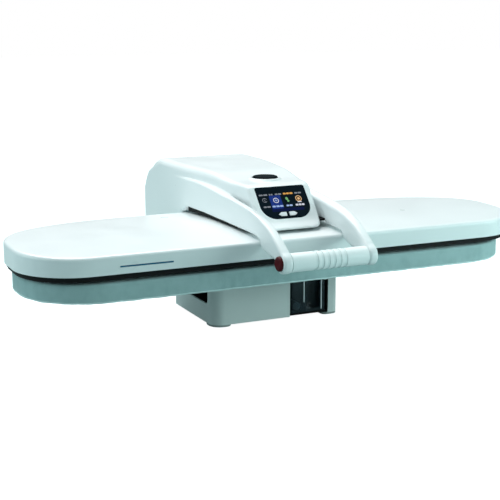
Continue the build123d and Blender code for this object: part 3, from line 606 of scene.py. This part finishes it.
def cylinder(name, p0, p1, r, n=96):
    """Closed cylinder between two points in millimetres."""
    a, b = np.array(p0, float), np.array(p1, float)
    w = (b - a) / np.linalg.norm(b - a)
    u = np.cross(w, [0, 0, 1.0])
    u = u / np.linalg.norm(u) if np.linalg.norm(u) > 1e-6 else np.array([1.0, 0, 0])
    t = np.cross(w, u)
    ring = [u * math.cos(2 * math.pi * i / n) * r + t * math.sin(2 * math.pi * i / n) * r for i in range(n)]
    v = [a + q for q in ring] + [b + q for q in ring]
    f = [list(range(n))[::-1], [n + i for i in range(n)]]
    f += [(i, (i + 1) % n, n + (i + 1) % n, n + i) for i in range(n)]
    return make_object(name, v, f)


for name, width, seg in (
    ("water_tank", 1.5, 3), ("tank_bay_liner", 0.6, 2), ("base_housing", 0.9, 2), ("column_housing", 1.2, 2), ("tank_cap", 0.8, 3),
    ("key_left", 0.3, 2), ("key_right", 0.3, 2), ("insulating_rim", 0.6, 2), ("switch_bezel", 0.5, 2), ("mains_inlet", 0.5, 2),
):
    bev = NODES[name].modifiers.new("soft_edges", "BEVEL")
    bev.width = width / 1000.0
    bev.segments = seg
    bev.limit_method = "ANGLE"
    bev.angle_limit = math.radians(40)
    bev.harden_normals = True
v, q = surface_net(lambda x, y, z: np.maximum(arm_outer(x, y, z), 76.0 - z), np.arange(-101.25, 101.3, 2.5), np.arange(-260.0, 372.0, 2.5), np.arange(70.5, 264.0, 2.5))
arm_shell = make_object("arm_shell", v, q, [M["white"]])
v, q = surface_net(lambda x, y, z: np.maximum(arm_cavity(x, y, z), 82.0 - z), np.arange(-98.0, 98.1, 3.5), np.arange(-262.5, 372.0, 3.5), np.arange(72.0, 264.0, 3.5))
cavity = make_object("cavity", v, q)
cut(
    arm_shell,
    [
        cavity,
        prism("c0", [(-120, 150), (120, 150), (120, 380), (-120, 380)], 40, 105, place=lambda ring, h: [(x, y, h) for x, y in ring]),
        prism("c1", display_ring(-0.2), -1.8, 14),
        prism("c2", display_ring(5.0), -14, 2),
        cylinder("c3", (-95, *HANDLE), (-80.5, *HANDLE), 12.4),
        cylinder("c6", (-82, *HANDLE), (81.5, *HANDLE), 10.3, 48),
        cylinder("c4", (0, -6, 244.5), (0, -6, 262), 23.4, 128),
        cylinder("c5", (0, -6, 236), (0, -6, 250), 5.5, 48),
    ],
    "MANIFOLD",
)
finish_mesh(arm_shell, 38, recalc=False)
print("arm faces", len(arm_shell.data.polygons))
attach(arm_shell, "arm")
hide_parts("arm_cover")

# ------------------------------------------------------------------ arm's lower cover, with a black lip down each side: the cover is a real part, while the lips are a dark sheet hanging into the gap above the shell, painted shade for that gap
def half_in(y, e):
    return float(np.interp(y, [-140, 140], [85.5, 94.0])) - e


def shade_lip_bottom(y):
    return 175.0 - y * y / 3852.0 + abs(y) * 0.021 + 1.6


ys = np.linspace(-100.2, 133.4, 30)
lv, lf = [], []
for y in ys:
    w, low = half_in(y, 3.5), max(shade_lip_bottom(float(y)), 174.6)
    low = low if y > -72 else 182.9
    # painted shade: below z 183 each side drops a black sheet to just above the shell's top, standing for the shade in
    # the gap under the arm
    lv += [
        (-w, y, 186.0), (w, y, 186.0), (w, y, 183.0), (w, y, low), (w - 2.5, y, low), (w - 2.5, y, 183.0),
        (-w + 2.5, y, 183.0), (-w + 2.5, y, low), (-w, y, low), (-w, y, 183.0),
    ]
n = 10
for i in range(len(ys) - 1):
    lf += [(i * n + j, i * n + (j + 1) % n, (i + 1) * n + (j + 1) % n, (i + 1) * n + j) for j in range(n)]
lf += [list(range(n))[::-1], [(len(ys) - 1) * n + j for j in range(n)]]
under = make_object("arm_underside", lv, lf, [M["black"]], 30)
cut(under, [prism("u0", [(-20, -16), (20, -16), (20, 16), (-20, 16)], 170, 200, place=lambda ring, h: [(x, y, h) for x, y in ring])])
finish_mesh(under, 30, recalc=False)
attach(under, "arm")
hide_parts("arm_lower_cover")


# ------------------------------------------------------------------ pressing board: pad and cover
def outline(tip, front, corner, e, step=4.0):
    """Plan outline of the long pressing surfaces, drawn in by e, evenly parametrised."""
    t, f, c = tip - e, front + e, corner - e
    a, b = tip - 200.0 - e, -front + 15.0 - e
    cy = f + c
    n0 = max(2, int(2 * (tip - corner) / step))
    nc = max(2, int(corner * 1.57 / step))
    ns = max(2, int((-15.0 - (front + corner)) / step)) if -15.0 - (front + corner) > step else 1
    ne = max(2, int(1.3 * (tip - 200.0) / step))
    nb = max(2, int(400.0 / step))

    def line(p, q, n):
        k = np.arange(n)[:, None] / n
        return np.array(p) * (1 - k) + np.array(q) * k

    def ell(cx, cyy, ra, rb, a0, a1, n):
        g = np.radians(a0 + (a1 - a0) * np.arange(n) / n)
        return np.stack([cx + ra * np.cos(g), cyy + rb * np.sin(g)], axis=1)

    return np.vstack(
        [
            line((-(t - c), f), (t - c, f), n0), ell(t - c, cy, c, c, 270, 360, nc), line((t, cy), (t, -15.0), ns),
            ell(200.0, -15.0, a, b, 0, 90, ne), line((200.0, -15.0 + b), (-200.0, -15.0 + b), nb),
            ell(-200.0, -15.0, a, b, 90, 180, ne), line((-t, -15.0), (-t, cy), ns), ell(-(t - c), cy, c, c, 180, 270, nc),
        ]
    )


def loft(name, rings, mats, cap_first=True, cap_last=True, angle=None):
    """Skin over equal rings of points."""
    n = len(rings[0])
    v = np.vstack(rings)
    f = []
    for i in range(len(rings) - 1):
        for j in range(n):
            k = (j + 1) % n
            f.append((i * n + j, i * n + k, (i + 1) * n + k, (i + 1) * n + j))
    if cap_first:
        f.append(list(range(n))[::-1])
    if cap_last:
        f.append([(len(rings) - 1) * n + j for j in range(n)])
    return make_object(name, v, f, mats, angle)


BOARD = (455.0, -155.0, 118.0)
ref = outline(*BOARD, 0.0)
seg = np.linalg.norm(np.roll(ref, -1, axis=0) - ref, axis=1)
arc_s = np.concatenate([[0], np.cumsum(seg)[:-1]])
PERIM = float(seg.sum())
outward = outline(*BOARD, 0.0) - outline(*BOARD, 1.0)
outward /= np.maximum(np.linalg.norm(outward, axis=1), 1e-6)[:, None]


def waves(counts, seed):
    """Uneven wave along the outline, between -1 and 1."""
    r = np.random.default_rng(seed)
    w = sum(r.uniform(0.5, 1.0) * np.sin(2 * np.pi * c * arc_s / PERIM + r.uniform(0, 6.28)) for c in counts)
    return w / np.abs(w).max()


slow, mid_w, fine = waves((9, 14, 23), 1), waves((31, 44, 57), 2), waves((83, 109, 131, 157), 3)
cover_rings = []
for e, z, out, lift in [
    (90, 125.3, 0, 0.15), (70, 125.3, 0, 0.2), (50, 125.3, 0, 0.25), (34, 125.3, 0, 0.3), (22, 125.3, 0, 0.3), (14, 125.3, 0, 0.25),
    (9, 125.25, 0, 0.2), (6, 125.15, 0, 0.1), (4, 124.9, 0, 0.05), (2.5, 124.4, 0, 0), (1.4, 123.6, 0.05, 0), (0.6, 122.4, 0.1, 0),
    (0.2, 120.8, 0.15, 0), (0, 118.6, 0.25, 0), (0, 115.5, 0.35, 0), (0, 112.2, 0.5, 0), (0, 109, 0.6, 0), (0, 106, 0.7, 0),
    (0, 103.4, 0.8, 0), (0, 101.2, 0.9, 0), (0, 99.2, 1.0, 0.2), (0.1, 97.4, 1.0, 0.35), (0.25, 96.3, 1.0, 0.5), (0.3, 96.0, 1.0, 0.6),
    (-0.35, 95.7, 1.0, 0.6), (-0.45, 95.0, 1.0, 0.7), (-0.3, 94.2, 1.0, 0.8), (0.2, 93.6, 1.0, 0.9), (1.0, 93.4, 1.0, 0.9),
    (1.7, 93.9, 1.0, 0.9), (2.0, 95.0, 0.8, 0.6), (2.3, 96.6, 0.5, 0.3), (3.4, 97.5, 0.3, 0.1), (6.0, 97.7, 0.2, 0.05),
    (10, 97.75, 0, 0.05), (16, 97.8, 0, 0.05),
]:
    xy = outline(*BOARD, e)
    push = out * (0.35 * slow + 0.35 * mid_w + 0.45 * fine * (out / 0.9)) - 0.35 * out
    xy = xy + outward * push[:, None]
    zz = z + lift * (0.6 * mid_w + 0.4 * fine) - (lift if z > 120 else 0) * 0.6
    cover_rings.append(np.column_stack([xy, zz]))


def cloth(name, light, dark, thread, spot):
    """Woven cotton, teal-grey, a little uneven."""
    m = Mat(name)
    n = m.noise(9.0, 4, 0.6)
    n2 = m.noise(60.0, 3)
    base = m.mix(m.ramp(n, 0.3, 0.7), dark, light)
    v = m.coords(scale=(1, 1, 1), rot=(0, 0, 0.785))
    w1 = m.n.new("ShaderNodeTexWave")
    w1.inputs["Scale"].default_value = 420.0
    w1.inputs["Distortion"].default_value = 0.6
    w1.bands_direction = "X"
    m.l.new(v, w1.inputs["Vector"])
    w2 = m.n.new("ShaderNodeTexWave")
    w2.inputs["Scale"].default_value = 420.0
    w2.inputs["Distortion"].default_value = 0.6
    w2.bands_direction = "Z"
    m.l.new(v, w2.inputs["Vector"])
    weave = m.math("MULTIPLY", w1.outputs["Fac"], w2.outputs["Fac"])
    base = m.mix(m.math("MULTIPLY", weave, 0.35), base, thread)
    base = m.mix(m.math("MULTIPLY", m.ramp(n2, 0.45, 0.75), 0.4), base, spot)
    m.color(base)
    m.rough(m.ramp(n2, 0.3, 0.7, 0.72, 0.88))
    m.bump(weave, 0.00025, 0.6)
    m.bump(m.noise(30.0, 4, 0.55), 0.0012, 0.35)
    m.set(Sheen_Weight=0.25, Sheen_Roughness=0.45, Specular_IOR_Level=0.25)
    return m.m


M["cloth"] = cloth("cover_fabric", (0.385, 0.560, 0.560), (0.325, 0.490, 0.490), (0.44, 0.61, 0.615), (0.250, 0.400, 0.405))
M["hem"] = cloth("cover_hem", (0.66, 0.83, 0.825), (0.60, 0.78, 0.775), (0.70, 0.86, 0.86), (0.50, 0.68, 0.68))
cover = loft("board_cover_cloth", cover_rings, [M["cloth"], M["hem"]], cap_first=True, cap_last=False)
ring_n = len(cover_rings[0])
hem_at = [i for i, r in enumerate(cover_rings) if 93.0 < float(np.mean(r[:, 2])) < 96.05]
for poly in cover.data.polygons:
    if len(poly.vertices) == 4 and hem_at[0] <= min(poly.vertices) // ring_n and max(poly.vertices) // ring_n <= hem_at[-1]:
        poly.material_index = 1
sol = cover.modifiers.new("thickness", "SOLIDIFY")
sol.thickness = 0.0009
sol.offset = -1.0
pad_rings = []
for e, z in [
    (90, 102.6), (12, 102.6), (6, 102.7), (3.4, 103.3), (2.4, 104.6), (2.2, 108), (2.2, 113), (2.2, 118), (2.4, 120.5), (3.2, 122.3),
    (5, 123.4), (8, 123.9), (14, 124.0), (40, 124.0), (90, 124.0),
]:
    pad_rings.append(np.column_stack([outline(*BOARD, e), np.full(len(ref), z)]))
pad = loft("board_pad_felt", pad_rings, [M["felt"]])
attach(cover, "base")
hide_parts("board_cover")
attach(pad, "base")
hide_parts("board_pad")


# ------------------------------------------------------------------ display's picture
def glow(name, col, strength, vary=0.25):
    m = Mat(name)
    n = m.noise(260.0, 3)
    lo = tuple(c * (1 - vary) for c in col)
    out = m.mix(m.ramp(n, 0.3, 0.7), lo, col)
    m.color(tuple(c * 0.05 for c in col))
    m.l.new(out, m.b.inputs["Emission Color"])
    m.set(Emission_Strength=strength, Roughness=0.25, Specular_IOR_Level=0.1, IOR=1.3)
    return m.m


SCREEN = [
    glow("screen_grey", (0.42, 0.46, 0.52), 0.55), glow("screen_orange", (1.0, 0.50, 0.12), 0.75),
    glow("screen_blue", (0.022, 0.06, 0.34), 0.6), glow("screen_light", (0.45, 0.62, 1.0), 0.8),
    glow("screen_green", (0.30, 0.72, 0.30), 0.6), glow("screen_gold", (1.0, 0.62, 0.30), 0.75),
    glow("screen_white", (0.85, 0.88, 1.0), 0.8), glow("screen_deep", (0.008, 0.016, 0.085), 0.6),
]
shapes = []


def put_shape(ring, mat, h=0.34):
    shapes.append((ring, mat, h))


def bar(x0, x1, t, h, mat, lift=0.34, r=None):
    r = min(h, x1 - x0) / 2 * 0.7 if r is None else r
    a, b, c, d = x0, x1, t - h / 2, t + h / 2
    put_shape(
        arc(b - r, d - r, r, 0, 90, 5) + arc(a + r, d - r, r, 90, 180, 5) + arc(a + r, c + r, r, 180, 270, 5) + arc(b - r, c + r, r, 270, 360, 5),
        mat, lift,
    )


def ring_shape(cx, cy, r1, r0, mat, a0=0, a1=360, n=28):
    """Band of a circle as one closed outline, left open by a hair."""
    outer = arc(cx, cy, r1, a0, a1 - 0.5, n)
    inner = arc(cx, cy, r0, a0, a1 - 0.5, n)[::-1]
    put_shape(outer + inner, mat)


bar(-25.5, -3.5, 1.0, 27.0, 2, 0.26, 2.5)
bar(-27.0, 34.0, -15.0, 6.0, 7, 0.26, 1.5)
for a, b in ((-43, -35.6), (-34.6, -27), (-24, -20.9), (-20.1, -17), (-12.6, -7.2), (-6.2, -0.6), (25, 30.6), (31.6, 38)):
    bar(a, b, 16.5, 2.9, 0)
for a, b in ((3.1, 8.4), (9.2, 14.6), (15.4, 21.6)):
    bar(a, b, 16.7, 3.4, 1)
ring_shape(-35.0, 6.0, 4.4, 3.7, 0, 20, 340)
bar(-37.2, -32.8, 9.6, 0.9, 0)
bar(-35.5, -34.5, 4.6, 5.4, 0)
ring_shape(-14.0, 4.4, 5.2, 3.9, 6)
bar(-16.2, -11.8, 4.4, 1.0, 3)
bar(-14.5, -13.5, 4.6, 4.6, 3)
put_shape([(4.4, 8.2), (7.4, 9.9), (9.8, 7.0), (8.8, 4.6), (11.0, 2.6), (9.4, -0.6), (6.6, 0.2), (7.2, 2.8), (5.0, 4.8)], 4)
ring_shape(29.5, 5.2, 6.0, 4.5, 5)
put_shape(arc(29.5, 5.0, 2.6, 0, 350, 14), 5)
bar(25.6, 33.4, -1.6, 1.6, 6)
for a, b in ((-41, -35.4), (-34.4, -28)):
    bar(a, b, -7.4, 3.0, 0)
for a, b in ((-24.4, -18.2), (-17.2, -11.0), (-10.0, -3.7)):
    bar(a, b, -7.4, 3.3, 3)
for a, b in ((2.3, 7.6), (8.4, 13.9)):
    bar(a, b, -7.4, 3.2, 3)
for a, b in ((20, 25.2), (26.0, 31.2), (32.0, 37)):
    bar(a, b, -7.2, 3.6, 6)
gv, gf, gm = [], [], []
for ring, mat, h in shapes:
    n = len(ring)
    start = len(gv)
    gv += on_display(ring, 0.12) + on_display(ring, h)
    gf.append([start + i for i in range(n)][::-1])
    gf.append([start + n + i for i in range(n)])
    gf += [(start + i, start + (i + 1) % n, start + n + (i + 1) % n, start + n + i) for i in range(n)]
    gm += [mat] * (n + 2)
graphics = make_object("display_graphics", gv, gf, SCREEN, 30, gm)
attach(graphics, "arm")


# ------------------------------------------------------------------ line on the shell, painted highlight strips on the tank
def slab(name, x0, x1, z0, z1, y0, y1, r, mat, edge=0.0002):
    """Flat bar with round ends standing on a front face, row coordinates in millimetres."""
    ring = arc(x1 - r, z1 - r, r, 0, 90, 6) + arc(x0 + r, z1 - r, r, 90, 180, 6) + arc(x0 + r, z0 + r, r, 180, 270, 6) + arc(x1 - r, z0 + r, r, 270, 360, 6)
    ob = prism(name, ring, y0, y1, [mat], place=lambda pts, h: [(a, h - Y_SHIFT, b) for a, b in pts])
    bev = ob.modifiers.new("soft", "BEVEL")
    bev.width = edge
    bev.segments = 2
    bev.limit_method = "ANGLE"
    bev.angle_limit = math.radians(50)
    bake_modifiers(ob)
    finish_mesh(ob, 40, recalc=False)
    return ob


M["line"] = plastic("line_blue", (0.02, 0.115, 0.21), 0.4, vary=0.08, grain=90, depth=0.00001, blotch=60, spec=0.3)
# light grey strips on both edges of the tank's finger recess: painted highlights that stand for the light caught by
# those edges
M["trim"] = plastic("trim_grey", (0.80, 0.85, 0.88), 0.25, vary=0.06, grain=120, depth=0.00001, blotch=60)
stripe = slab("shell_line", -322.5, -233.5, 149.2, 151.8, -212.3, -211.6, 1.25, M["line"], 0.00008)
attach(stripe, "head")
trims = join(
    [
        slab("t0", 53.9, 55.7, 27.5, 79.0, -108.5, -107.6, 0.85, M["trim"], 0.0002),
        slab("t1", 88.9, 90.7, 11.5, 80.0, -108.5, -107.6, 0.85, M["trim"], 0.0002),
    ],
    "tank_trims",
)
finish_mesh(trims, 40, recalc=False)
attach(trims, "tank")


# ------------------------------------------------------------------ camera
cam_data = bpy.data.cameras.new("camera")
cam_data.sensor_width = 36.0
cam_data.lens = 80.42
cam = bpy.data.objects.new("camera", cam_data)
bpy.context.scene.collection.objects.link(cam)
right = Vector((0.90483, -0.42578, 0.0)).normalized()
fwd = Vector((0.41657, 0.88525, -0.20689)).normalized()
up = right.cross(fwd).normalized()
rot = Matrix((right, up, -fwd)).transposed()
cam.matrix_world = Matrix.Translation(Vector((-0.8573, -1.8196, 0.5327))) @ rot.to_4x4()
bpy.context.scene.camera = cam

# ------------------------------------------------------------------ floor, world, lights
scene = bpy.context.scene
scene.view_settings.view_transform = "Standard"
scene.view_settings.look = "None"
scene.view_settings.exposure = 0.0

floor_me = bpy.data.meshes.new("floor")
S = 12.0
floor_me.from_pydata([(-S, -S, 0), (S, -S, 0), (S, S, 0), (-S, S, 0)], [], [(0, 1, 2, 3)])
floor = bpy.data.objects.new("floor", floor_me)
scene.collection.objects.link(floor)
fm = Mat("floor")
fn = fm.noise(1.2, 2)
fm.color(fm.mix(fm.ramp(fn, 0.3, 0.7), (0.275, 0.385, 0.385), (0.29, 0.405, 0.405)))
fm.set(Roughness=0.9, Specular_IOR_Level=0.1)
fm.b.inputs["Emission Color"].default_value = (1, 1, 1, 1)
flp = fm.n.new("ShaderNodeLightPath")
fm.l.new(fm.ramp(flp.outputs["Is Camera Ray"], 0.0, 1.0, 0.02, 0.97), fm.b.inputs["Emission Strength"])
floor_me.materials.append(fm.m)

world = bpy.data.worlds.new("studio")
scene.world = world
world.use_nodes = True
wn, wl = world.node_tree.nodes, world.node_tree.links
bg = wn["Background"]
bg.inputs["Strength"].default_value = 1.0
wtc = wn.new("ShaderNodeTexCoord")
wsep = wn.new("ShaderNodeSeparateXYZ")
wl.new(wtc.outputs["Generated"], wsep.inputs[0])


def wmath(op, a, b, clamp=False):
    t = wn.new("ShaderNodeMath")
    t.operation = op
    t.use_clamp = clamp
    for k, v in enumerate((a, b)):
        if isinstance(v, (int, float)):
            t.inputs[k].default_value = v
        else:
            wl.new(v, t.inputs[k])
    return t.outputs[0]


from_left = wmath("MULTIPLY", wmath("MULTIPLY", wsep.outputs["X"], -1.0, True), 0.30)
from_top = wmath("MULTIPLY", wmath("MULTIPLY", wsep.outputs["Z"], 1.0, True), 0.36)
sky = wmath("ADD", wmath("ADD", from_left, from_top), 0.09)
lp = wn.new("ShaderNodeLightPath")
wmix = wn.new("ShaderNodeMix")
wmix.data_type = "FLOAT"
wl.new(lp.outputs["Is Camera Ray"], wmix.inputs["Factor"])
wl.new(sky, wmix.inputs["A"])
wmix.inputs["B"].default_value = 1.0
wl.new(wmix.outputs["Result"], bg.inputs["Strength"])
wtint = wn.new("ShaderNodeMix")
wtint.data_type = "RGBA"
wl.new(lp.outputs["Is Camera Ray"], wtint.inputs["Factor"])
wtint.inputs["A"].default_value = (0.72, 0.97, 1.0, 1)
wtint.inputs["B"].default_value = (1, 1, 1, 1)
wl.new(wtint.outputs["Result"], bg.inputs["Color"])


def area(name, loc, target, size, power, color=(1, 1, 1), size_y=None):
    d = bpy.data.lights.new(name, "AREA")
    d.energy = power
    d.color = color
    d.shape = "RECTANGLE"
    d.size = size
    d.size_y = size_y or size
    o = bpy.data.objects.new(name, d)
    scene.collection.objects.link(o)
    o.location = loc
    o.rotation_mode = "QUATERNION"
    o.rotation_quaternion = (Vector(target) - Vector(loc)).to_track_quat("-Z", "Y")
    return o


area("top_soft", (-0.2, 1.0, 2.35), (0, 0.05, 0.1), 2.6, 84, (1.0, 0.955, 0.955), 2.0)
area("left_soft", (-2.6, 0.3, 0.6), (0, 0.1, 0.1), 1.6, 12, (0.78, 0.97, 1.0), 0.9)
area("right_front", (1.15, -1.1, 0.42), (0.15, -0.1, 0.1), 1.1, 12, (0.78, 1.0, 0.985), 0.7)
